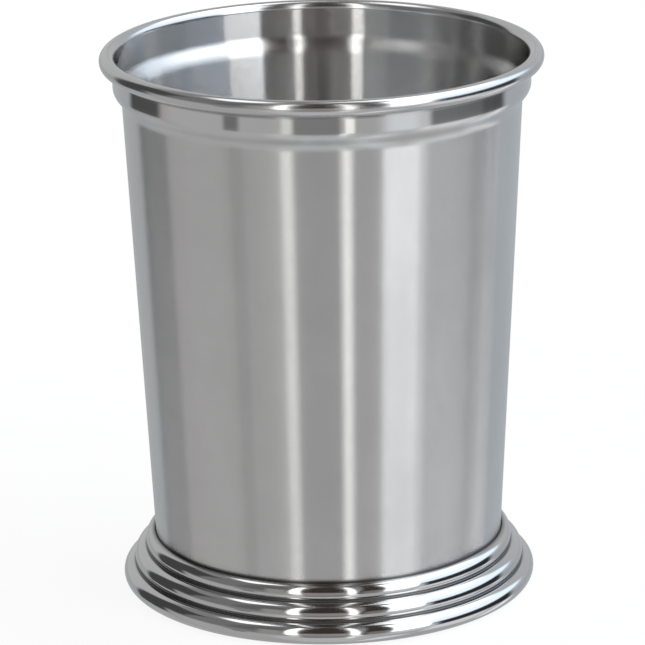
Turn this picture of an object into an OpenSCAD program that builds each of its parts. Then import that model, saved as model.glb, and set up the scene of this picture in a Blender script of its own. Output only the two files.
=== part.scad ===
// Julep cup in stainless sheet, in millimetres, standing on z = 0 with +Z up.
// The cup is one drawn sheet: a flat floor, a tapered wall, an ogee neck that
// steps out to a straight collar, and a rim rolled outwards into a hollow bead.
// It stands in a separate pressed foot ring with stepped round ribs, which is
// brazed to the wall from below.

/* [Cup body] */
// Height from the table to the top of the rim
cup_h = 108; // [95:0.5:120]
// Outer diameter over the rolled rim
rim_d = 86; // [84:0.5:92]
// Outer diameter of the wall where it runs into the neck
wall_top_d = 77.6; // [74:0.1:79]
// Outer diameter of the wall, drawn on down to the floor
wall_base_d = 68.2; // [60:0.1:72]
// Height of the floor's underside above the table
floor_z = 5; // [3:0.1:7]
// Outer radius of the bend between floor and wall
floor_bend_r = 5; // [3:0.1:7]
// Thickness of the cup's sheet
cup_t = 0.6; // [0.4:0.05:0.8]

/* [Rim, collar and neck] */
// Outer diameter of the rolled rim bead
roll_d = 3.1; // [2.6:0.05:3.6]
// Gap between the rolled edge and the collar
roll_gap = 0.15; // [0.05:0.01:0.3]
// Height from the neck's upper corner to the top of the rim
collar_h = 7.45; // [6:0.05:9]
// Height from the neck's lower corner to its upper corner
neck_h = 2.2; // [1.8:0.1:4]
// Radius of the hollow bend below the neck
neck_bend_r = 3.2; // [2:0.1:5.5]
// Radius of the round bend above the neck
shoulder_bend_r = 2.6; // [1.8:0.1:4.5]

/* [Foot ring] */
// How many ribs step down the foot
rib_count = 3; // [2:1:4]
// How far each rib stands out past the one above
rib_out = 2.25; // [1.5:0.01:2.6]
// How far each rib lies below the one above
rib_down = 3.32; // [2.8:0.01:4]
// How deep the groove between two ribs is
groove_depth = 1.2; // [0.6:0.01:1.6]
// Radius at the bottom of a groove
groove_r = 0.2; // [0.1:0.01:0.4]
// Width of the flat hem that the foot stands on
hem_w = 2.3; // [1.2:0.1:3.5]
// Thickness of the foot's sheet
foot_t = 0.6; // [0.4:0.05:0.8]

/* [Brazed joint] */
// Gap between the foot's top edge and the wall
seat_gap = 0.03; // [0.02:0.01:0.1]
// Length of the braze fillet along each of its two sides
braze_leg = 0.9; // [0.5:0.05:1.2]

/* [Hidden] */
$fn = 180;
// Largest turn between two points of a rounded profile, in degrees
turn_step = 5;
// Steps along the hollow face of the braze fillet
bowl_steps = 5;

// Corners of the cup's outer skin before they are rounded, as [radius, height]
roll_r = roll_d / 2;
roll_bore_r = roll_r - cup_t;
collar_r = rim_d / 2 - roll_r - roll_bore_r;
floor_corner = [wall_base_d / 2, floor_z];
shoulder_corner = [collar_r, cup_h - collar_h];
neck_corner = [wall_top_d / 2, shoulder_corner[1] - neck_h];

// Lean of the wall and of the neck, out from the vertical
wall_lean = lean(floor_corner, neck_corner);
neck_lean = lean(neck_corner, shoulder_corner);

// Share of the two neck bends that fits on the slope between them
neck_run = neck_bend_r * tan(abs(neck_lean - wall_lean) / 2) + shoulder_bend_r * tan(abs(neck_lean) / 2);
neck_fit_share = min(1, norm(shoulder_corner - neck_corner) / neck_run);

// Ribs: round them so that neighbours meet in a groove of the wanted depth
rib_pitch = norm([rib_out, rib_down]);
rib_r = (pow(groove_depth, 2) + pow(rib_pitch / 2, 2)) / (2 * groove_depth) - groove_r;
foot_h = 2 * rib_r + (rib_count - 1) * rib_down;
top_rib_z = foot_h - rib_r;
rib_fall = atan2(rib_down, rib_out);
// Half the angle that a rib spends facing the groove beside it
groove_half = acos(rib_pitch / 2 / (rib_r + groove_r));
// The top edge of the foot ends square to the wall
seat_angle = 90 - wall_lean;

// Lean of the line from a to b, out from the vertical
function lean(a, b) = atan2(b[0] - a[0], b[1] - a[1]);

// A point at a distance and an angle from a centre
function polar(c, r, a) = c + r * [cos(a), sin(a)];

// Points along an arc, with no turn larger than turn_step
function arc(c, r, a0, a1) =
    let (n = ceil(abs(a1 - a0) / turn_step))
    [for (i = [0:n]) polar(c, r, a0 + (a1 - a0) * i / n)];

// A bend is [centre, radius of the outer skin, first angle, last angle].
// This one rounds a corner where the outer skin's heading changes.
function bend_at(corner, heading_in, heading_out, r) =
    let (side = sign(heading_out - heading_in))
    let (back = r * tan(abs(heading_out - heading_in) / 2))
    [polar(polar(corner, -back, heading_in), side * r, heading_in + 90),
     r, heading_in - side * 90, heading_out - side * 90];

// One skin of a bent sheet, a distance in from its outer skin
function skin(bends, depth) =
    [for (b = bends) each arc(b[0], b[1] - sign(b[3] - b[2]) * depth, b[2], b[3])];

// A list of points from last to first
function back_to_front(points) = [for (i = [len(points) - 1:-1:0]) points[i]];

// Points of a curve that leaves a towards b and arrives at c from b
function hollow_curve(a, b, c, n) =
    [for (i = [0:n]) let (s = i / n) a * pow(1 - s, 2) + b * 2 * s * (1 - s) + c * pow(s, 2)];

// Outer radius of the cup's straight wall at a height
function wall_r(z) = floor_corner[0] + (z - floor_z) * tan(wall_lean);

// Centre of a rib, counted from the top one down. The top rib springs
// from the wall itself.
function rib_centre(i) = [wall_r(top_rib_z), top_rib_z] + i * [rib_out, -rib_down];

// Centre of the small hollow arc between rib i and the one below it
function groove_centre(i) = polar(rib_centre(i), rib_r + groove_r, groove_half - rib_fall);

// The rolled rim turns out and down until its edge stops short of the collar
roll_bend = [[collar_r + roll_bore_r, cup_h - roll_r], roll_bore_r,
             180, -acos(-(roll_bore_r - roll_gap) / roll_r)];

cup_bends = [bend_at(floor_corner, 0, 90 - wall_lean, floor_bend_r),
             bend_at(neck_corner, 90 - wall_lean, 90 - neck_lean, neck_bend_r * neck_fit_share),
             bend_at(shoulder_corner, 90 - neck_lean, 90, shoulder_bend_r * neck_fit_share),
             roll_bend];

// Angles at which a rib runs into the groove below it and the one above it
rib_low_angle = groove_half - rib_fall;
rib_high_angle = 180 - groove_half - rib_fall;

// The ribs and grooves in order from the table up to the wall
rib_bends = [for (i = [rib_count - 1:-1:0]) each concat(
    [[rib_centre(i), rib_r,
      i == rib_count - 1 ? -90 : rib_low_angle,
      i == 0 ? seat_angle - asin(seat_gap / rib_r) : rib_high_angle]],
    i == 0 ? [] : [[groove_centre(i - 1), groove_r, 180 + rib_high_angle, 180 + rib_low_angle]])];

// A solid of revolution from the two skins of a bent sheet. The flat part
// before the first bend starts at start_r.
module spun_sheet(start_r, bends, t) {
    base_z = skin(bends, 0)[0][1];
    rotate_extrude()
        polygon(concat([[start_r, base_z]],
                       skin(bends, 0),
                       back_to_front(skin(bends, t)),
                       [[start_r, base_z + t]]));
}

// Drawn cup: floor, wall, neck, collar and rolled rim in one sheet
module cup_body() {
    color("silver")
        spun_sheet(0, cup_bends, cup_t);
}

// Pressed foot: stepped round ribs over a flat hem turned in at the table
module foot_ring() {
    color("gainsboro")
        spun_sheet(rib_centre(rib_count - 1)[0] - hem_w, rib_bends, foot_t);
}

// Braze run into the corner between the wall and the inside of the top rib
module braze_seam() {
    seam_r = rib_r - foot_t - seat_gap;
    first = seat_angle - asin(seat_gap / seam_r);
    last = seat_angle - braze_leg / seam_r * 180 / PI;
    corner = polar(rib_centre(0), seam_r, first);
    low = polar(corner, -braze_leg, seat_angle);
    ring_side = arc(rib_centre(0), seam_r, last, first);
    bowl = hollow_curve(low, (corner + (low + ring_side[0]) / 2) / 2, ring_side[0], bowl_steps);
    color("darkgray")
        rotate_extrude()
            polygon(concat(bowl, [for (i = [1:len(ring_side) - 1]) ring_side[i]]));
}

cup_body();
foot_ring();
braze_seam();
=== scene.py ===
# %% [markdown]
# # A julep cup in stainless steel
# The cup is a drawn sheet: floor, tapered wall, neck, collar and rolled rim in one piece. It stands in a
# separate pressed foot ring with three stepped ribs. All of it is turned round one axis, so every piece
# here is a line drawn in the radius and height plane and swept round. What makes such a cup look real is
# its two finishes, satin and mirror, and what they reflect. This file builds the pieces first, then the
# finishes, and then the studio that stands round the cup.

# %% Open the frame
import math

import bmesh
import bpy
from mathutils import Matrix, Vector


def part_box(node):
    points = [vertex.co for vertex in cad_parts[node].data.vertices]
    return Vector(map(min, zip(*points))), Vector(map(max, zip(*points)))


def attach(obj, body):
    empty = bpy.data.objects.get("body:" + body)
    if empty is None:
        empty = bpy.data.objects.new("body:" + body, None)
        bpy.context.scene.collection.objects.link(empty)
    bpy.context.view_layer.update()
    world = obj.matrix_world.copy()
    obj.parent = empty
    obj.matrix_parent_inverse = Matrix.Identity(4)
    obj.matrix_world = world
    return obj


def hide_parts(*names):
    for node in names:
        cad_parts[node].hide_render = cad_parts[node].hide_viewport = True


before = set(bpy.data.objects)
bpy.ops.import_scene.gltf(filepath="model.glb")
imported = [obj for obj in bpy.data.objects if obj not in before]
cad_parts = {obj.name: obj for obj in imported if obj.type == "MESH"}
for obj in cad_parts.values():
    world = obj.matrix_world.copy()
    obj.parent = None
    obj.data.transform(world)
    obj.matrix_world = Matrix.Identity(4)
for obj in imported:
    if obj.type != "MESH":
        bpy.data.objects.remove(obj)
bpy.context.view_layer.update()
MM = 0.001


print("nodes", sorted(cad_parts))

# %% [markdown]
# ## Sizes
# The frame gives the overall box of each node. The sizes inside it, such as the sheet's thickness and the
# radii of the bends, are the same driving sizes that the cup was drawn from. They are written in
# millimetres, because a maker thinks in them, and MM turns them into Blender's metres.

# %% Sizes of the cup
cup_low, cup_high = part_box("cup_body")
CUP_H = round(cup_high.z / MM, 2)
RIM_D = round((cup_high.x - cup_low.x) / MM, 1)
WALL_TOP_D = 77.6
WALL_BASE_D = 68.2
FLOOR_Z = round(cup_low.z / MM, 2)
FLOOR_BEND_R = 5.0
SHEET = 0.6
ROLL_D = 3.1
ROLL_GAP = 0.15
COLLAR_H = 7.45
NECK_H = 2.2
NECK_BEND_R = 3.2
SHOULDER_BEND_R = 2.6
print("height", CUP_H, "rim", RIM_D, "floor", FLOOR_Z)

# %% [markdown]
# ## The foot's sizes
# Three equal ribs step out and down by the same amount. It would be natural to give the rib's radius, but
# then the grooves would come out as they may. Here the groove's depth is given, since the eye sees that
# first, and the radius of the ribs follows from it.

# %% Sizes of the foot
RIB_COUNT = 3
RIB_OUT = 2.25
RIB_DOWN = 3.32
GROOVE_DEPTH = 1.2
GROOVE_R = 0.2
HEM_W = 2.3
SEAT_GAP = 0.03
rib_pitch = math.hypot(RIB_OUT, RIB_DOWN)
rib_r = (GROOVE_DEPTH ** 2 + (rib_pitch / 2) ** 2) / (2 * GROOVE_DEPTH) - GROOVE_R
print("rib radius", round(rib_r, 3), "pitch", round(rib_pitch, 3))

# %% [markdown]
# ## Drawing a bent sheet
# A sheet has two skins that keep the same distance everywhere. So a bend is given once, as a centre, the
# radius of its outer skin and two angles, and the inner skin is the same arc with the thickness taken off.
# It could be drawn as a curve with handles, but arcs keep the thickness exact and join without a kink, and
# a mirror finish shows every kink.

# %% Arcs and bends
TURN = 4.0


def polar(centre, radius, angle):
    """The point at a distance and an angle, in degrees, from a centre."""
    a = math.radians(angle)
    return (centre[0] + radius * math.cos(a), centre[1] + radius * math.sin(a))


def arc(centre, radius, first, last, turn=TURN):
    """Points along an arc, with no turn larger than turn degrees."""
    steps = max(1, math.ceil(abs(last - first) / turn))
    return [polar(centre, radius, first + (last - first) * i / steps) for i in range(steps + 1)]


def lean(a, b):
    """How far the line from a to b leans out from the vertical, in degrees."""
    return math.degrees(math.atan2(b[0] - a[0], b[1] - a[1]))


def bend_at(corner, heading_in, heading_out, radius):
    """Rounds a corner where the outer skin's heading changes."""
    side = 1 if heading_out > heading_in else -1
    back = radius * math.tan(math.radians(abs(heading_out - heading_in) / 2))
    start = polar(corner, -back, heading_in)
    centre = polar(start, side * radius, heading_in + 90)
    return (centre, radius, heading_in - side * 90, heading_out - side * 90)


def skin_run(bend, inner, turn=TURN):
    """The arc of one skin in a bend. The inner skin lies a sheet's thickness further in."""
    centre, radius, first, last = bend
    if inner:
        radius -= math.copysign(SHEET, last - first)
    return arc(centre, radius, first, last, turn)


print("points in a quarter turn", len(arc((0.0, 0.0), 1.0, 0, 90)))

# %% [markdown]
# ## Straight stretches
# Shading is smoothed from face to face. A long straight wall next to a tight bend would take part of the
# bend's turn, and the reflections would sag. Two extra points close to each end of a straight keep the
# wall's normals true, as support loops do in subdivision modelling.

# %% A skin with support points
SUPPORT = 0.12
SAME_POINT = 1e-6
STRAIGHT_PIECES = 6


def along_line(a, b, pieces):
    """Points inside the straight line from a to b: one close to each end, and a few between."""
    length = math.dist(a, b)
    if length < 4 * SUPPORT:
        return []
    near = SUPPORT / length
    shares = [near] + [near + (1 - 2 * near) * i / pieces for i in range(1, pieces)] + [1 - near]
    return [(a[0] + (b[0] - a[0]) * s, a[1] + (b[1] - a[1]) * s) for s in shares]


def draw_skin(runs):
    """Joins arcs by straights. A run is its points, their finish and the finish of the straight after it."""
    points = list(runs[0][0])
    finishes = [runs[0][1]] * (len(points) - 1)
    for before, (run, finish, _) in zip(runs, runs[1:]):
        if math.dist(points[-1], run[0]) < SAME_POINT:
            points.pop()
        else:
            support = along_line(points[-1], run[0], STRAIGHT_PIECES)
            points += support
            finishes += [before[2]] * (len(support) + 1)
        points += run
        finishes += [finish] * (len(run) - 1)
    return points, finishes


# %% [markdown]
# ## The lathe
# Blender's Screw modifier could sweep the line, but a mesh made in code can carry more with it: the finish
# of each stretch as a material index, and values that the materials read. Each point of the line becomes a
# ring. A point on the axis stays a single point, so the floor is closed and clean.

# %% Rings and the faces between them
def sweep_points(points, around):
    """Turns points in mm round the axis. Gives the vertices, and each point's ring of vertex numbers."""
    angles = [2 * math.pi * j / around for j in range(around)]
    circle = [(math.cos(a), math.sin(a)) for a in angles]
    vertices = []
    rings = []
    for radius, height in points:
        start = len(vertices)
        turns = circle if radius > SAME_POINT else [(0.0, 0.0)]
        vertices += [(radius * MM * c, radius * MM * s, height * MM) for c, s in turns]
        rings.append([start + (j % len(turns)) for j in range(around + 1)])
    return vertices, rings


def sweep_faces(rings, closed):
    """Faces between neighbouring rings, and from the last to the first where the line is closed."""
    following = rings[1:] + rings[:1] if closed else rings[1:]
    faces = []
    for here, there in zip(rings, following):
        for j in range(len(here) - 1):
            corners = [here[j], here[j + 1], there[j + 1], there[j]]
            faces.append([c for k, c in enumerate(corners) if c not in corners[:k]])
    return faces


# %% [markdown]
# ## What a ring remembers
# Three values ride on the points as attributes. "along" is the distance along the sheet, which the brushing
# follows. "crevice" is where the polishing wheel can't reach: the steel is rougher there, and its colour is
# painted darker as shade in the crevice. "satin" is how satin the sheet is. They could be painted as
# textures, but an attribute is exact and needs no picture.

# %% Values on the points
def soft_step(share):
    """Rises from 0 to 1 with level ends."""
    return share * share * (3 - 2 * share)


def crevice_depth(point, spots):
    """1 where the polishing wheel can't reach and shade is painted, falling to 0. A spot is a place and its
    reach in mm.
    """
    open_share = min([math.dist(point, place) / reach for place, reach in spots] + [1.0])
    return 1 - soft_step(open_share)


def remember(mesh, label, rings, values):
    """Stores one value per ring on all its points, as an attribute that a material can read."""
    on_points = [0.0] * len(mesh.vertices)
    for ring, value in zip(rings, values):
        for place in ring:
            on_points[place] = value
    mesh.attributes.new(label, "FLOAT", "POINT").data.foreach_set("value", on_points)


def put_in_scene(name, mesh):
    """An object that shows a mesh."""
    made = bpy.data.objects.new(name, mesh)
    bpy.context.scene.collection.objects.link(made)
    return made


# %% [markdown]
# ## Turning a piece
# The lathe puts these together. At the end it turns all faces to look outwards and counts the open edges.
# None may be left, because each piece is a closed solid, also where it is only 0.6 mm thick.

# %% Sweep a line round the axis
def all_satin(point):
    """The same everywhere, for pieces whose satin doesn't fade."""
    return 1.0


def lathe(name, points, finishes, closed, around, crevices, satin_at=all_satin):
    """A closed mesh of revolution from points in mm. finishes has the material index of each span, crevices
    has the spots of painted crevice shade and rougher steel, and satin_at gives how satin the sheet is at a
    point, from 0 to 1."""
    vertices, rings = sweep_points(points, around)
    mesh = bpy.data.meshes.new(name)
    mesh.from_pydata(vertices, [], sweep_faces(rings, closed))
    mesh.polygons.foreach_set("material_index", [finish for finish in finishes for _ in range(around)])
    travelled = [0.0]
    for a, b in zip(points, points[1:]):
        travelled.append(travelled[-1] + math.dist(a, b))
    remember(mesh, "along", rings, [far * MM for far in travelled])
    remember(mesh, "crevice", rings, [crevice_depth(point, crevices) for point in points])
    remember(mesh, "satin", rings, [satin_at(point) for point in points])
    work = bmesh.new()
    work.from_mesh(mesh)
    bmesh.ops.recalc_face_normals(work, faces=work.faces)
    print(name, "faces", len(work.faces), "open edges", sum(not e.is_manifold for e in work.edges),
          "volume in cubic mm", round(work.calc_volume() / MM ** 3, 1))
    work.to_mesh(mesh)
    work.free()
    mesh.shade_smooth()
    return put_in_scene(name, mesh)


# %% [markdown]
# ## The drawn cup
# A blank of sheet is drawn into the tapered cup, the neck and collar are rolled in on a lathe, and the edge
# is curled outwards into a bead so that no one drinks from a sharp edge. The same order is followed here:
# corners first, then a bend at each corner, then the two skins. The cut edge is hidden in the bead and
# rounded over.

# %% Corners and bends of the cup
roll_r = ROLL_D / 2
roll_bore_r = roll_r - SHEET
collar_r = RIM_D / 2 - roll_r - roll_bore_r
floor_corner = (WALL_BASE_D / 2, FLOOR_Z)
shoulder_corner = (collar_r, CUP_H - COLLAR_H)
neck_corner = (WALL_TOP_D / 2, shoulder_corner[1] - NECK_H)
wall_lean = lean(floor_corner, neck_corner)
neck_lean = lean(neck_corner, shoulder_corner)
edge_turn = math.degrees(math.asin(SHEET / 2 / (roll_r - SHEET / 2)))
roll_end = -math.degrees(math.acos(-(roll_bore_r - ROLL_GAP) / roll_r)) + edge_turn

floor_bend = bend_at(floor_corner, 0, 90 - wall_lean, FLOOR_BEND_R)
neck_bend = bend_at(neck_corner, 90 - wall_lean, 90 - neck_lean, NECK_BEND_R)
shoulder_bend = bend_at(shoulder_corner, 90 - neck_lean, 90, SHOULDER_BEND_R)
roll_bend = ((collar_r + roll_bore_r, CUP_H - roll_r), roll_bore_r, 180, roll_end)
print("wall leans", round(wall_lean, 2), "neck leans", round(neck_lean, 2))
print("curl ends at", round(roll_end, 1))

# %% [markdown]
# ## The joint in the wall
# The foot's top rib springs from the wall's own line, so its centre lies on the wall. That joint gets a
# thin dark line of painted shade, where the shadow falls in the gap. The wall gets a band of short spans
# there, fine enough for the line to fade.

# %% Where the foot meets the wall
JOINT_BAND = 1.2
JOINT_STEPS = 8
STEPS_BELOW = 3
foot_top = 2 * rib_r + (RIB_COUNT - 1) * RIB_DOWN
top_rib_z = foot_top - rib_r


def wall_r(z):
    """Outer radius of the straight wall at a height."""
    return floor_corner[0] + (z - FLOOR_Z) * math.tan(math.radians(wall_lean))


top_rib_r = wall_r(top_rib_z)
joint = polar((top_rib_r, top_rib_z), rib_r, 90 - wall_lean)
band_heights = [joint[1] + JOINT_BAND * i / JOINT_STEPS for i in range(-STEPS_BELOW, JOINT_STEPS + 1)]
joint_band = [(wall_r(z), z) for z in band_heights]
print("the joint is at radius", round(joint[0], 2), "and height", round(joint[1], 2))

# %% [markdown]
# ## Two skins
# The outer skin runs from the floor's underside up the wall to the curl, and the inner one the same way
# inside. Each stretch says which finish it has. Tight bends get shorter turns where a highlight runs over
# them. The curl shows only its outside, which is the inner skin of the sheet turned over.

# %% Skins of the cup
SATIN, POLISHED, INSIDE, UNDERSIDE, ROLLED = range(5)
NECK_TURN = 2.5
CURL_TURN = 8
RIM_TURN = 3
EDGE_TURN = 20

outside = draw_skin([
    ([(0.0, FLOOR_Z)], UNDERSIDE, UNDERSIDE),
    (skin_run(floor_bend, False), UNDERSIDE, UNDERSIDE),
    (joint_band, SATIN, SATIN),
    (skin_run(neck_bend, False, NECK_TURN), SATIN, SATIN),
    (skin_run(shoulder_bend, False, NECK_TURN), SATIN, SATIN),
    (skin_run(roll_bend, False, CURL_TURN), POLISHED, POLISHED),
])
inside = draw_skin([
    ([(0.0, FLOOR_Z + SHEET)], INSIDE, INSIDE),
    (skin_run(floor_bend, True), INSIDE, INSIDE),
    (skin_run(neck_bend, True, NECK_TURN), INSIDE, INSIDE),
    (skin_run(shoulder_bend, True, NECK_TURN), INSIDE, INSIDE),
    (skin_run(roll_bend, True, RIM_TURN), ROLLED, ROLLED),
])
edge_middle = polar(roll_bend[0], roll_r - SHEET / 2, roll_end)
roll_edge = arc(edge_middle, SHEET / 2, roll_end - 180, roll_end, EDGE_TURN)[1:-1]
cup_points = outside[0] + roll_edge + inside[0][::-1]
cup_finishes = outside[1] + [POLISHED] * (len(roll_edge) + 1) + inside[1][::-1]
print("points outside", len(outside[0]), "at the cut edge", len(roll_edge), "inside", len(inside[0]))

# %% [markdown]
# ## From satin to mirror
# On the real cup the satin belt reaches up to the shoulder, and the collar is buffed bright afterwards. The
# buffing wheel leaves no sharp border. Two materials side by side would show one, so the wall and the
# collar share one material, and the stored value of satin falls from 1 to 0 across the shoulder.

# %% Turn the cup
CUP_AROUND = 288
# Reaches in mm of the painted crevice shade, and of the rougher steel, at the joint and under the curl.
JOINT_SHADE_REACH = 0.8
RIM_SHADE_REACH = 0.6
SATIN_ENDS_BELOW = 0.5
SATIN_ENDS_ABOVE = 1.4


def cup_satin(point):
    """1 on the wall and inside the cup, falling to 0 from the shoulder up to the polished collar."""
    if point[0] < collar_r - SHEET / 2 and point[1] > shoulder_corner[1]:
        return 1.0
    past = (point[1] - shoulder_corner[1] + SATIN_ENDS_BELOW) / (SATIN_ENDS_BELOW + SATIN_ENDS_ABOVE)
    return 1 - soft_step(min(1.0, max(0.0, past)))


rim_gap = (collar_r, CUP_H - ROLL_D)
cup_shade_spots = [(joint, JOINT_SHADE_REACH), (rim_gap, RIM_SHADE_REACH)]
drawn_cup = lathe("drawn_cup", cup_points, cup_finishes, False, CUP_AROUND, cup_shade_spots, cup_satin)
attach(drawn_cup, "root")
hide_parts("cup_body")

# %% [markdown]
# ## The ribbed foot
# The foot is pressed from a ring of sheet: each rib is a round step, and the grooves between them are tight
# hollow bends. The top rib springs from the wall's own line, and the bottom one turns in to a flat hem. A
# stack of tori would be quicker, but it would have no sheet, no hem and no hollow underneath.

# %% Ribs, grooves and hem
rib_fall = math.degrees(math.atan2(RIB_DOWN, RIB_OUT))
groove_half = math.degrees(math.acos(rib_pitch / 2 / (rib_r + GROOVE_R)))
rib_low = groove_half - rib_fall
rib_high = 180 - groove_half - rib_fall
seat_turn = math.degrees(math.asin(SHEET / 2 / (rib_r - SHEET / 2)))
seat_angle = 90 - wall_lean - math.degrees(math.asin(SEAT_GAP / rib_r)) - seat_turn


def rib_centre(i):
    """Centre of a rib, counted from the top one down."""
    return (top_rib_r + i * RIB_OUT, top_rib_z - i * RIB_DOWN)


rib_bends = []
groove_floors = []
for i in reversed(range(RIB_COUNT)):
    first = -90 if i == RIB_COUNT - 1 else rib_low
    last = seat_angle if i == 0 else rib_high
    rib_bends.append((rib_centre(i), rib_r, first, last))
    if i:
        groove_centre = polar(rib_centre(i - 1), rib_r + GROOVE_R, rib_low)
        rib_bends.append((groove_centre, GROOVE_R, 180 + rib_high, 180 + rib_low))
        groove_floors.append(polar(groove_centre, GROOVE_R, 180 + (rib_high + rib_low) / 2))
print("foot top", round(foot_top, 2), "bends", len(rib_bends), "grooves", len(groove_floors))

# %% [markdown]
# ## Fine where it shows
# A mirror shows every facet, so the outer skin of the ribs has short turns. The tiny grooves and the skin
# inside the foot are seldom seen close, and coarser turns there keep the mesh light. The cut edges are
# rounded over.

# %% Skins of the foot
FOOT_AROUND = 396
RIB_TURN = 3.5
GROOVE_TURN = 8.0
HIDDEN_TURN = 12.0
# Reaches in mm of the painted shade, and of the rougher steel, at the joint and in the grooves.
FOOT_JOINT_SHADE_REACH = 1.3
GROOVE_SHADE_REACH = 0.7
hem_r = rib_centre(RIB_COUNT - 1)[0] - HEM_W + SHEET / 2
seen_runs = [skin_run(b, False, RIB_TURN if b[1] > GROOVE_R else GROOVE_TURN) for b in rib_bends]
hidden_runs = [skin_run(b, True, HIDDEN_TURN) for b in rib_bends]
ribs_out = draw_skin([([(hem_r, 0.0)], 0, 0)] + [(run, 0, 0) for run in seen_runs])
ribs_in = draw_skin([([(hem_r, SHEET)], 0, 0)] + [(run, 0, 0) for run in hidden_runs])
seat_middle = polar(rib_centre(0), rib_r - SHEET / 2, seat_angle)
seat_edge = arc(seat_middle, SHEET / 2, seat_angle, seat_angle + 180, EDGE_TURN)[1:-1]
hem_edge = arc((hem_r, SHEET / 2), SHEET / 2, 90, 270, EDGE_TURN)[1:-1]
foot_points = ribs_out[0] + seat_edge + ribs_in[0][::-1] + hem_edge
foot_shade_spots = [(joint, FOOT_JOINT_SHADE_REACH)] + [(place, GROOVE_SHADE_REACH) for place in groove_floors]
ribbed_foot = lathe("ribbed_foot", foot_points, [0] * len(foot_points), True, FOOT_AROUND, foot_shade_spots)
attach(ribbed_foot, "root")
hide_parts("foot_ring")

# %% [markdown]
# ## Brushed and polished steel
# Satin steel is brushed round the cup. Each fine scratch runs round, so light spreads up and down across
# the scratches and stays narrow along them. That is what anisotropy does: a radial tangent follows the
# brushing, and a quarter turn of it puts the wide spread upright. Materials made in code are long lists of
# nodes and links, so three small helpers come first.

# %% Helpers for node trees
def node(tree, kind, values=None, **settings):
    """Adds a node, with its settings and the values of its input sockets."""
    made = tree.nodes.new(kind)
    for key, value in settings.items():
        setattr(made, key, value)
    for key, value in (values or {}).items():
        made.inputs[key].default_value = value
    return made


def formula(tree, operation, *inputs):
    """A Math node. An input is a socket or a number."""
    made = node(tree, "ShaderNodeMath", operation=operation)
    for socket, value in zip(made.inputs, inputs):
        if isinstance(value, (int, float)):
            socket.default_value = value
        else:
            tree.links.new(value, socket)
    return made.outputs[0]


def blend(tree, share, a, b):
    """Mixes two colours, each a socket or three numbers, by a share that is a socket."""
    mixed = node(tree, "ShaderNodeMix", data_type="RGBA")
    tree.links.new(share, mixed.inputs["Factor"])
    for label, value in (("A", a), ("B", b)):
        if isinstance(value, (list, tuple)):
            mixed.inputs[label].default_value = (*value, 1.0)
        else:
            tree.links.new(value, mixed.inputs[label])
    return mixed.outputs["Result"]


# %% [markdown]
# ## Grain
# The grain is noise that is stretched round the axis and fine along the sheet. An image of scratches would
# have a seam and a fixed size. This noise reads the object's own place and the distance along the sheet
# that the lathe stored, so it has no seam and rings the floor too. The same noise, with other repeats,
# makes clouds and smudges.

# %% The brushing
NOISE_ROUGH = 0.6


def grain(tree, around, across, detail):
    """Noise that is long round the cup and fine along the sheet. around and across are repeats per metre."""
    place = node(tree, "ShaderNodeSeparateXYZ")
    tree.links.new(node(tree, "ShaderNodeTexCoord").outputs["Object"], place.inputs[0])
    along = node(tree, "ShaderNodeAttribute", attribute_name="along").outputs["Fac"]
    stretched = node(tree, "ShaderNodeCombineXYZ")
    for label, source, repeats in (("X", place.outputs["X"], around), ("Y", place.outputs["Y"], around),
                                   ("Z", along, across)):
        tree.links.new(formula(tree, "MULTIPLY", source, repeats), stretched.inputs[label])
    noise = node(tree, "ShaderNodeTexNoise", {"Scale": 1.0, "Detail": detail, "Roughness": NOISE_ROUGH})
    tree.links.new(stretched.outputs[0], noise.inputs["Vector"])
    return noise.outputs["Fac"]


def spread(tree, source, low, high, start=0.3, end=0.7):
    """Maps noise to a range of values."""
    limits = {"From Min": start, "From Max": end, "To Min": low, "To Max": high}
    mapped = node(tree, "ShaderNodeMapRange", limits)
    tree.links.new(source, mapped.inputs["Value"])
    return mapped.outputs["Result"]


# %% [markdown]
# ## Scratches too fine to draw
# A belt-brushed sheet spreads a lamp into a line far longer than anisotropy reaches. So the normal is also
# thrown up or down the sheet by dice at each spot that a ray hits. Two dice added together make small
# throws common and large ones rare. The render averages them, and the eye sees an even satin.

# %% Scratches that tip the surface
def brushed_normal(tree, tip, satin_here):
    """The surface's normal, tipped up and down the sheet at random. tip is the largest throw, and satin_here
    is a socket that lessens it."""
    surface = node(tree, "ShaderNodeNewGeometry")
    around = node(tree, "ShaderNodeTangent", direction_type="RADIAL", axis="Z")
    up_sheet = node(tree, "ShaderNodeVectorMath", operation="CROSS_PRODUCT")
    tree.links.new(surface.outputs["Normal"], up_sheet.inputs[0])
    tree.links.new(around.outputs[0], up_sheet.inputs[1])
    dice = node(tree, "ShaderNodeTexWhiteNoise", noise_dimensions="3D")
    tree.links.new(surface.outputs["Position"], dice.inputs["Vector"])
    throws = node(tree, "ShaderNodeSeparateXYZ")
    tree.links.new(dice.outputs["Color"], throws.inputs[0])
    total = formula(tree, "ADD", throws.outputs["X"], throws.outputs["Y"])
    amount = formula(tree, "MULTIPLY", formula(tree, "SUBTRACT", total, 1.0), tip)
    tipped = node(tree, "ShaderNodeVectorMath", operation="SCALE")
    tree.links.new(up_sheet.outputs["Vector"], tipped.inputs[0])
    tree.links.new(formula(tree, "MULTIPLY", amount, satin_here), tipped.inputs["Scale"])
    whole = node(tree, "ShaderNodeVectorMath", operation="ADD")
    tree.links.new(surface.outputs["Normal"], whole.inputs[0])
    tree.links.new(tipped.outputs["Vector"], whole.inputs[1])
    unit = node(tree, "ShaderNodeVectorMath", operation="NORMALIZE")
    tree.links.new(whole.outputs["Vector"], unit.inputs[0])
    return unit.outputs["Vector"]
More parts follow.
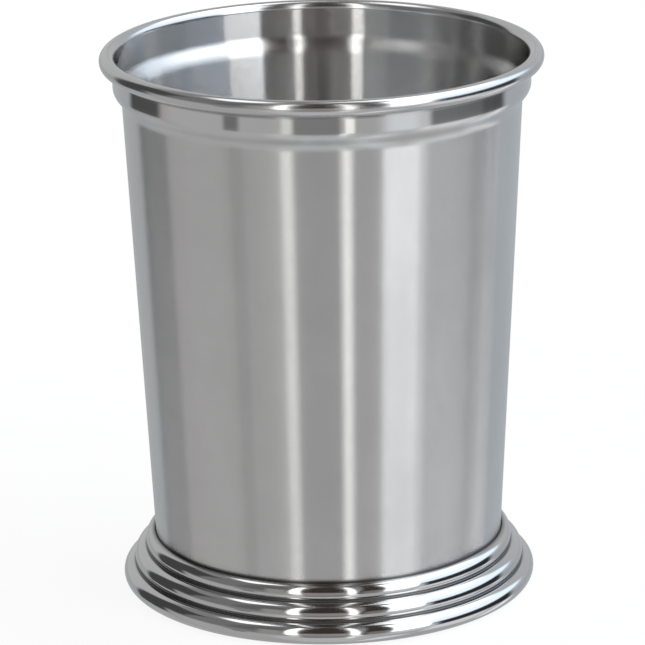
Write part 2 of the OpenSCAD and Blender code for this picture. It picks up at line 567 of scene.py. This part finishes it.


# %% [markdown]
# ## The colour of steel
# Bare steel has hardly any colour of its own, but it is never even: handling leaves faint smudges. A flat
# grey would look like plastic film. Here the tint drops by a few hundredths in clouds, and turns dark
# where the lathe stored a crevice, as painted shade in the joint, the grooves and under the curl.

# %% Smudges and painted crevice shade
FINE_GRAIN = (60.0, 5200.0, 2.0)
CLOUDS = (30.0, 30.0, 4.0)
SMUDGES = (55.0, 40.0, 4.0)
HAMMERING = (120.0, 160.0, 1.0)
SMUDGE_SHARE = 0.75
SMUDGE_CONTRAST = (0.35, 0.65)
GRAIN_SHARE = 0.25
MOTTLE_DARK = 0.93
CREVICE_ROUGH = 0.3
# Painted shade: in a crevice the colour goes this far towards a dark tint.
CREVICE_SHADE_DARK = 0.9
CREVICE_SHADE_TINT = (0.10, 0.095, 0.09)


def steel_colour(tree, tint, fine, crevice):
    """The tint with smudges, and painted shade in the crevices. fine and crevice are sockets."""
    smudge = spread(tree, grain(tree, *SMUDGES), 0.0, SMUDGE_SHARE, *SMUDGE_CONTRAST)
    mottle = formula(tree, "MULTIPLY_ADD", spread(tree, fine, 0.0, 1.0), GRAIN_SHARE, smudge)
    shade = blend(tree, mottle, [c * MOTTLE_DARK for c in tint], tint)
    # Painted shade: the colour darkens towards the dark tint where the lathe stored a crevice.
    return blend(tree, formula(tree, "MULTIPLY", crevice, CREVICE_SHADE_DARK), shade, CREVICE_SHADE_TINT)


# %% [markdown]
# ## One recipe for steel
# All finishes on the cup are the same metal, worked in different ways. So one function makes them, and each
# finish says how rough it is, how strongly brushed, how deep its scratches are and how much the sheet waves
# from drawing. Where a finish is satin, the roughness halves towards the mirror collar along with the
# throws.

# %% A steel material
SMOOTH_SHARE = 0.5
QUARTER_TURN = 0.25


def steel(name, tint, roughness, anisotropy, scratch, wave, tip=0.0):
    """Stainless steel. roughness is a range, scratch and wave are the heights of the grain and the hammering
    in mm, and tip is how far fine scratches tip the surface."""
    material = bpy.data.materials.new(name)
    material.use_nodes = True
    tree = material.node_tree
    shader = tree.nodes["Principled BSDF"]
    shader.inputs["Metallic"].default_value = 1.0
    shader.inputs["Anisotropic"].default_value = anisotropy
    shader.inputs["Anisotropic Rotation"].default_value = QUARTER_TURN
    tangent = node(tree, "ShaderNodeTangent", direction_type="RADIAL", axis="Z")
    tree.links.new(tangent.outputs[0], shader.inputs["Tangent"])
    fine = grain(tree, *FINE_GRAIN)
    crevice = node(tree, "ShaderNodeAttribute", attribute_name="crevice").outputs["Fac"]
    tree.links.new(steel_colour(tree, tint, fine, crevice), shader.inputs["Base Color"])
    rough = spread(tree, grain(tree, *CLOUDS), *roughness)
    scratches = node(tree, "ShaderNodeBump", {"Strength": 1.0, "Distance": scratch * MM})
    tree.links.new(fine, scratches.inputs["Height"])
    if tip:
        satin_here = node(tree, "ShaderNodeAttribute", attribute_name="satin").outputs["Fac"]
        kept = formula(tree, "MULTIPLY_ADD", satin_here, 1 - SMOOTH_SHARE, SMOOTH_SHARE)
        rough = formula(tree, "MULTIPLY", rough, kept)
        tree.links.new(brushed_normal(tree, tip, satin_here), scratches.inputs["Normal"])
    rough = formula(tree, "MULTIPLY_ADD", crevice, CREVICE_ROUGH, rough)
    tree.links.new(rough, shader.inputs["Roughness"])
    waves = node(tree, "ShaderNodeBump", {"Strength": 1.0, "Distance": wave * MM})
    tree.links.new(grain(tree, *HAMMERING), waves.inputs["Height"])
    tree.links.new(scratches.outputs[0], waves.inputs["Normal"])
    tree.links.new(waves.outputs[0], shader.inputs["Normal"])
    return material


# %% [markdown]
# ## Which finish goes where
# The wall is satin, the rim and the foot are polished, the inside is buffed with a longer spread, and the
# underside is left dull as it came from the press. The joint is filled with a yellowish braze that nobody
# polishes. Its node is shown as it comes from the frame, with a material of its own.

# %% Finishes on the pieces
STEEL = (0.62, 0.62, 0.625)
WALL_STEEL = (0.66, 0.66, 0.66)
INNER_STEEL = (0.68, 0.675, 0.67)
DULL_STEEL = (0.50, 0.50, 0.50)
BRAZE = (0.52, 0.47, 0.36)
satin_wall = steel("satin_wall", WALL_STEEL, roughness=(0.16, 0.20), anisotropy=1.0,
                   scratch=0.0003, wave=0.002, tip=0.30)
polished = steel("polished_steel", STEEL, roughness=(0.08, 0.11), anisotropy=0.5,
                 scratch=0.0002, wave=0.002)
satin_inside = steel("satin_inside", INNER_STEEL, roughness=(0.12, 0.14), anisotropy=1.0,
                     scratch=0.0004, wave=0.002, tip=0.68)
dull_underside = steel("dull_underside", DULL_STEEL, roughness=(0.40, 0.46), anisotropy=0.5,
                       scratch=0.002, wave=0.008)
rolled_rim = steel("rolled_rim", STEEL, roughness=(0.16, 0.20), anisotropy=0.5,
                   scratch=0.0004, wave=0.003)
rough_braze = steel("braze", BRAZE, roughness=(0.45, 0.6), anisotropy=0.0,
                    scratch=0.004, wave=0.02)
for finish in (satin_wall, polished, satin_inside, dull_underside, rolled_rim):
    drawn_cup.data.materials.append(finish)
ribbed_foot.data.materials.append(polished)
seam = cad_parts["braze_seam"]
seam.data.materials.clear()
seam.data.materials.append(rough_braze)
print("materials", [m.name for m in bpy.data.materials])

# %% [markdown]
# ## The board under the cup
# The cup stands on a pale board. A plane would do, but a disc has no corner that could come into view. It
# lies a hair below the hem, so that the two don't flicker, and it stays out of reflections: the steel
# mirrors the room's grey table instead.

# %% The board
BOARD_R = 0.17
BOARD_Z = -0.00005
BOARD_CORNERS = 96
board_turns = [2 * math.pi * j / BOARD_CORNERS for j in range(BOARD_CORNERS)]
board_mesh = bpy.data.meshes.new("board")
board_mesh.from_pydata([(BOARD_R * math.cos(a), BOARD_R * math.sin(a), BOARD_Z) for a in board_turns], [],
                       [list(range(BOARD_CORNERS))])
board = put_in_scene("board", board_mesh)
board.visible_glossy = False
print("the board is", round(2 * BOARD_R / MM), "mm across")

# %% [markdown]
# ## The board's paint
# The camera sees the board nearly white, so that the cup is cut out against it as in a catalogue. A share
# of plain shading stays in it, which keeps the cup's shadow. More light would whiten it too, but would burn
# out the steel. From below the board is see-through, so that the foot's hollow can be looked at.

# %% Paint the board
WHITE_SHARE = 0.85
WHITE_LEVEL = 1.05
PAINT = (0.8, 0.8, 0.8, 1.0)
paint = bpy.data.materials.new("board_paint")
paint.use_nodes = True
board_tree = paint.node_tree
board_tree.nodes.remove(board_tree.nodes["Principled BSDF"])


def mix_shaders(share, a, b):
    """Mixes two of the board's shaders by a share that is a socket."""
    mixed = node(board_tree, "ShaderNodeMixShader")
    for source, socket in zip((share, a.outputs[0], b.outputs[0]), mixed.inputs):
        board_tree.links.new(source, socket)
    return mixed


flat = node(board_tree, "ShaderNodeBsdfDiffuse", {"Color": PAINT})
white = node(board_tree, "ShaderNodeEmission", {"Color": (1.0, 1.0, 1.0, 1.0), "Strength": WHITE_LEVEL})
clear = node(board_tree, "ShaderNodeBsdfTransparent")
to_camera = node(board_tree, "ShaderNodeLightPath").outputs["Is Camera Ray"]
from_below = node(board_tree, "ShaderNodeNewGeometry").outputs["Backfacing"]
top_side = mix_shaders(formula(board_tree, "MULTIPLY", to_camera, WHITE_SHARE), flat, white)
one_sided = mix_shaders(from_below, top_side, clear)
board_tree.links.new(one_sided.outputs[0], board_tree.nodes["Material Output"].inputs["Surface"])
board.data.materials.append(paint)
print("board shaders", len(board_tree.nodes))

# %% [markdown]
# ## The room
# A bright cup is a picture of its room. Seen from the camera, a point of the wall at some angle round the
# cup mirrors the room at twice that angle. So the studio is laid out by angle: 0 is behind the camera and
# positive angles are on its right. The quiet part comes first, a grey table below the horizon and a dim
# room above it, as a ramp over the height of the look.

# %% The world
ROOM = [(-90, 0.52), (-20, 0.57), (-2, 0.48), (8, 0.36), (60, 0.30), (82, 0.18)]
world = bpy.data.worlds.new("room")
bpy.context.scene.world = world
world.use_nodes = True
sky = world.node_tree
look = node(sky, "ShaderNodeSeparateXYZ")
sky.links.new(node(sky, "ShaderNodeTexCoord").outputs["Generated"], look.inputs[0])
toward_camera = formula(sky, "MULTIPLY", look.outputs["Y"], -1.0)
angle = formula(sky, "DEGREES", formula(sky, "ARCTAN2", look.outputs["X"], toward_camera))
height = formula(sky, "DEGREES", formula(sky, "ARCSINE", look.outputs["Z"]))
ramp = node(sky, "ShaderNodeValToRGB")
sky.links.new(formula(sky, "DIVIDE", formula(sky, "ADD", height, 90.0), 180.0), ramp.inputs[0])
while len(ramp.color_ramp.elements) < len(ROOM):
    ramp.color_ramp.elements.new(0.5)
for stop, (elevation, value) in zip(ramp.color_ramp.elements, ROOM):
    stop.position = (elevation + 90) / 180
    stop.color = (value, value, value, 1.0)
print("room levels", ROOM)

# %% [markdown]
# ## Soft cards
# The narrow bright lines and the broad bands on the cup are tall panels and cards in the room. Each could
# be an area light or a glowing mesh. Here a card is painted on the world by its angle and height, as seen
# from the cup, so it needs no mesh, never stands in front of a camera and can fade at its edges as cloth
# does. One node group works out how far a look is beyond the card's side and end, and fades the card over
# what is below it.

# %% A card as a node group
CARD_NUMBERS = ("Angle", "Height", "At angle", "Half width", "At height", "Half height",
                "Edge", "Fade", "Lean")
CARD_COLOURS = ("Below", "Card")
card_group = bpy.data.node_groups.new("card", "ShaderNodeTree")
for label in CARD_NUMBERS:
    card_group.interface.new_socket(label, in_out="INPUT", socket_type="NodeSocketFloat")
for label in CARD_COLOURS:
    card_group.interface.new_socket(label, in_out="INPUT", socket_type="NodeSocketColor")
card_group.interface.new_socket("Colour", in_out="OUTPUT", socket_type="NodeSocketColor")
entry = node(card_group, "NodeGroupInput").outputs


def fade_out(beyond, width):
    """1 inside the card's edge and 0 outside it, over a soft width."""
    half = formula(card_group, "MULTIPLY", width, 0.5)
    fade = node(card_group, "ShaderNodeMapRange", {"To Min": 1.0, "To Max": 0.0},
                interpolation_type="SMOOTHSTEP")
    card_group.links.new(beyond, fade.inputs["Value"])
    card_group.links.new(formula(card_group, "MULTIPLY", half, -1.0), fade.inputs["From Min"])
    card_group.links.new(half, fade.inputs["From Max"])
    return fade.outputs["Result"]


rise = formula(card_group, "TANGENT", formula(card_group, "RADIANS", entry["Height"]))
centre_line = formula(card_group, "MULTIPLY_ADD", rise, entry["Lean"], entry["At angle"])
aside = formula(card_group, "SUBTRACT", entry["Angle"], centre_line)
aside = formula(card_group, "ABSOLUTE", formula(card_group, "WRAP", aside, 180.0, -180.0))
above = formula(card_group, "ABSOLUTE", formula(card_group, "SUBTRACT", entry["Height"], entry["At height"]))
beyond_side = formula(card_group, "SUBTRACT", aside, entry["Half width"])
beyond_end = formula(card_group, "SUBTRACT", above, entry["Half height"])
across_side = fade_out(beyond_side, entry["Edge"])
across_end = fade_out(beyond_end, entry["Fade"])
cover = formula(card_group, "MULTIPLY", across_side, across_end)
card_out = node(card_group, "NodeGroupOutput").inputs["Colour"]
card_group.links.new(blend(card_group, cover, entry["Below"], entry["Card"]), card_out)
print("nodes in a card", len(card_group.nodes))

# %% [markdown]
# ## Laying cards
# Cards go on like paper on a table: each one covers those before it, so the broad walls come first and the
# narrow bright strips last. A row is the card's name, its angle, its width, its lowest and highest edge,
# its level, its tint, and how soft its sides and ends are. The last number, where there is one, leans the
# card outwards.

# %% Lay a card over the room
NEUTRAL = (1.0, 1.0, 1.0)
WARM = (1.0, 0.99, 0.96)
COOL = (0.95, 0.98, 1.0)


def lay_card(below, name, angle_at, width, low, high, level, tint, edge, fade, lean_out=0.0):
    """Lays a card over what the room shows so far and gives the new view. Its angles are in degrees."""
    made = node(sky, "ShaderNodeGroup", node_tree=card_group, name=name, label=name)
    place = {"At angle": angle_at, "Half width": width / 2, "At height": (low + high) / 2,
             "Half height": (high - low) / 2, "Edge": edge, "Fade": fade, "Lean": lean_out}
    for label, value in place.items():
        made.inputs[label].default_value = value
    made.inputs["Card"].default_value = (*[level * c for c in tint], 1.0)
    sky.links.new(angle, made.inputs["Angle"])
    sky.links.new(height, made.inputs["Height"])
    sky.links.new(below, made.inputs["Below"])
    return made.outputs["Colour"]


def lay_cards(below, cards):
    """Lays cards one over the other, in their order, and prints their names."""
    for row in cards:
        below = lay_card(below, *row)
    print(len(cards), "cards:", ", ".join(row[0] for row in cards))
    return below


# %% [markdown]
# ## In front of the cup
# The middle of the cup mirrors what stands round the camera: a dark gap between two lights, the far end of
# a brownish table below it, and the near table in grey. The dark is what makes steel look like steel, so it
# stays dark.

# %% Cards in front
BROWN = (1.0, 0.82, 0.70)
ROSE = (1.0, 0.90, 0.86)
BEIGE = (1.0, 0.97, 0.92)
LEAF = (0.97, 1.0, 0.95)
HAZE = (0.97, 0.985, 1.0)
room_seen = lay_cards(ramp.outputs[0], [
    ("back_top", 180, 70, 0, 60, 0.26, NEUTRAL, 16, 10),
    ("front_low", -6, 56, -80, -26, 0.69, HAZE, 10, 18),
    ("front_table", -4, 28, -26, -6, 0.27, NEUTRAL, 5, 10),
    ("front_gap", -4, 29, -6, 86, 0.055, BROWN, 3, 6),
    ("front_far_table", -4, 29, -8, 18, 0.40, ROSE, 3, 8),
    ("gap_right_of_strip", 25, 18, -6, 80, 0.05, BROWN, 3, 6, 8),
    ("far_table_right", 27, 15, -8, 18, 0.27, ROSE, 4, 8, 4),
    ("gap_left_of_strip", -44, 34, -8, 62, 0.29, LEAF, 6, 8),
    ("gap_left_top", -44, 34, 12, 62, 0.18, NEUTRAL, 6, 8),
    ("beige_card", -32, 13, -10, 36, 0.42, BEIGE, 5, 8, -6),
])

# %% [markdown]
# ## On the left
# The left third of the cup mirrors a pale wall and its fold. Two dark boards stand there on purpose: near
# the edge of a bright object they draw the thin dark lines that part it from a white background.

# %% Cards on the left
LINEN = (1.0, 0.99, 0.985)
SHELL = (1.0, 0.965, 0.96)
DUSK = (0.95, 0.985, 1.0)
room_seen = lay_cards(room_seen, [
    ("left_wall", -78, 36, -60, 0, 0.55, LINEN, 8, 10),
    ("left_wall_top", -78, 36, 0, 60, 0.24, NEUTRAL, 8, 10),
    ("left_fold", -99, 10, -60, -10, 0.50, SHELL, 8, 8),
    ("left_back", -150, 44, -35, 0, 0.51, DUSK, 8, 8),
    ("left_back_top", -154, 52, 0, 44, 0.62, NEUTRAL, 8, 10),
    ("dark_board", -115, 30, -18, 44, 0.08, NEUTRAL, 7, 4),
    ("dark_board_top", -95, 17, 6, 44, 0.08, NEUTRAL, 4, 8),
    ("dark_spot", -51, 9, -18, -11, 0.14, NEUTRAL, 4, 5),
    ("high_left", -116, 72, 60, 76, 2.0, NEUTRAL, 8, 6),
])

# %% [markdown]
# ## On the right
# Daylight comes from the right, so the cards there are brighter and bluish. The high window is what draws
# the white arc inside the cup and the highlight on top of the bead. A dark shade at eye level gives the
# collar its dark end.

# %% Cards on the right
DAYLIGHT = (0.88, 0.94, 1.0)
PEARL = (0.96, 0.98, 1.0)
FROST = (0.98, 0.985, 1.0)
SKY = (0.76, 0.87, 1.0)
BLUE = (0.93, 0.96, 1.0)
room_seen = lay_cards(room_seen, [
    ("right_back", 138, 84, -45, 0, 0.58, DAYLIGHT, 8, 8),
    ("right_back_top", 138, 84, 0, 44, 0.62, PEARL, 8, 10),
    ("right_panel", 120, 14, -45, -20, 1.25, NEUTRAL, 6, 6),
    ("blue_wall", 79, 42, -45, 6, 1.0, FROST, 6, 8),
    ("right_fold", 106, 6, -45, -17, 0.85, NEUTRAL, 6, 8),
    ("blue_sky", 96, 72, 6, 46, 0.84, SKY, 10, 8),
    ("right_shade", 89, 58, -17, 12, 0.035, BLUE, 8, 8),
    ("sky_below_window", 96, 80, 14, 40, 1.8, SKY, 10, 8),
    ("high_window", 86, 92, 40, 77, 2.6, COOL, 16, 10, 14),
])

# %% [markdown]
# ## The window and the strips
# A soft window gives the broad light band right of the middle, and two narrow strips of light give the
# lines on either side of it. Each is bright above and fades below, where the real one is mirrored in the
# table. Here that is one card above the other, so that the satin wall, which sees the lower cards, keeps
# its own level.

# %% Cards of the window and the strips
MINT = (0.97, 1.0, 0.96)
room_seen = lay_cards(room_seen, [
    ("window_on_board", 45, 24, -80, -48, 1.1, COOL, 13, 12),
    ("window_below", 45, 22, -24, 0, 0.93, COOL, 13, 24),
    ("window", 44.5, 22, -4, 62, 3.1, COOL, 3, 8, 7),
    ("right_strip_below", 11.8, 4.4, -36, -19, 1.35, WARM, 2.5, 8),
    ("right_strip_collar", 14.8, 5.0, -19, -7, 1.4, WARM, 2.5, 3),
    ("right_strip", 13.4, 4.6, -4, 72, 2.9, WARM, 2.5, 5, 2),
    ("left_strip_below", -22.8, 13, -36, -19, 0.72, WARM, 10, 8),
    ("left_strip_collar", -19.3, 6.0, -19, -5, 0.92, MINT, 4, 3),
    ("left_strip", -20.3, 6.6, -1, 72, 3.0, WARM, 2.5, 6, -4),
])

# %% [markdown]
# ## What the camera sees behind the cup
# The cards are for the steel, not for the picture. Only where the camera itself looks past the cup, the
# world is plain white. So the background is white without any more light on the cup.

# %% White behind the cup
BACKDROP = (1.0, 1.0, 1.0)
camera_look = node(sky, "ShaderNodeLightPath").outputs["Is Camera Ray"]
sky.links.new(blend(sky, camera_look, room_seen, BACKDROP), sky.nodes["Background"].inputs["Color"])
print("cards", sum(n.type == "GROUP" for n in sky.nodes))

# %% [markdown]
# ## The camera
# A long lens from about 0.8 m, a little above the cup and tipped down, as the ellipses of the rim and the
# foot in the photograph ask. The picture leans by less than a degree, so the camera is rolled by as much.

# %% Set up the camera
CAMERA_AWAY = 0.820
CAMERA_UP = 0.3059
TIP_DOWN = 0.2997
ROLL = -0.0149
TURN_SIDE = 0.0007
SENSOR = 36.0
FOCAL_PIXELS = 4362.0
IMAGE_PIXELS = 645.0
FARTHEST = 20.0
lens = bpy.data.cameras.new("camera")
lens.sensor_width = SENSOR
lens.lens = FOCAL_PIXELS / IMAGE_PIXELS * SENSOR
lens.clip_end = FARTHEST
camera = put_in_scene("camera", lens)
bpy.context.scene.camera = camera
pose = (Matrix.Rotation(TURN_SIDE, 4, "Z") @ Matrix.Rotation(math.pi / 2 - TIP_DOWN, 4, "X")
        @ Matrix.Rotation(ROLL, 4, "Z"))
camera.matrix_world = Matrix.Translation((0.0, -CAMERA_AWAY, CAMERA_UP)) @ pose
print("lens in mm", round(lens.lens, 1))

# %% [markdown]
# ## Finish
# The plain Standard view shows colours as they are written.

# %% Finish
bpy.context.scene.view_settings.view_transform = "Standard"
